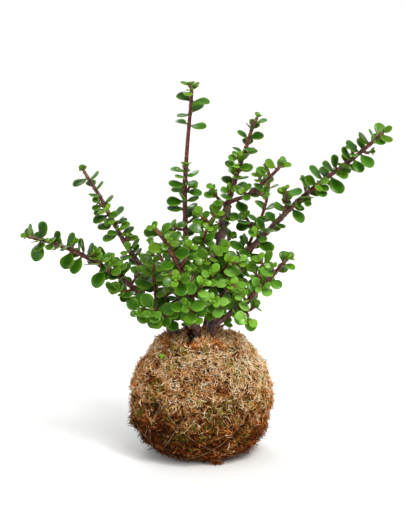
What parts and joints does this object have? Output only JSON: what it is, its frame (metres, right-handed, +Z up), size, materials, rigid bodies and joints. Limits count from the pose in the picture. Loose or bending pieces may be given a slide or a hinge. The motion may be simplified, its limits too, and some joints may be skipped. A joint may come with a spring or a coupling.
{
  "type": "kokedama moss ball plant",
  "caption": "Leafy succulent shrub growing from a soil ball wrapped in dried moss and bound with thread, as a small table plant.",
  "frame": {"origin": "centre of the small flat spot that the moss ball rests on", "axes": "+Z up, -Y towards the side shown in the picture, +X to the right in the picture"},
  "size_m": [0.3082, 0.1689, 0.32],
  "materials": {
    "leaf": "satin",
    "bark": "satin",
    "moss": "rough",
    "soil": "rough",
    "thread": "satin"
  },
  "bodies": {
    "root": {"moss_wrap": "moss", "soil_core": "soil", "binding_thread": "thread", "upright_stem": "leaf", "main_stem": "leaf", "right_long_stem": "leaf", "right_low_stem": "leaf", "front_stem": "leaf", "left_stem": "leaf", "back_left_stem": "leaf", "back_right_stem": "leaf"}
  },
  "joints": []
}
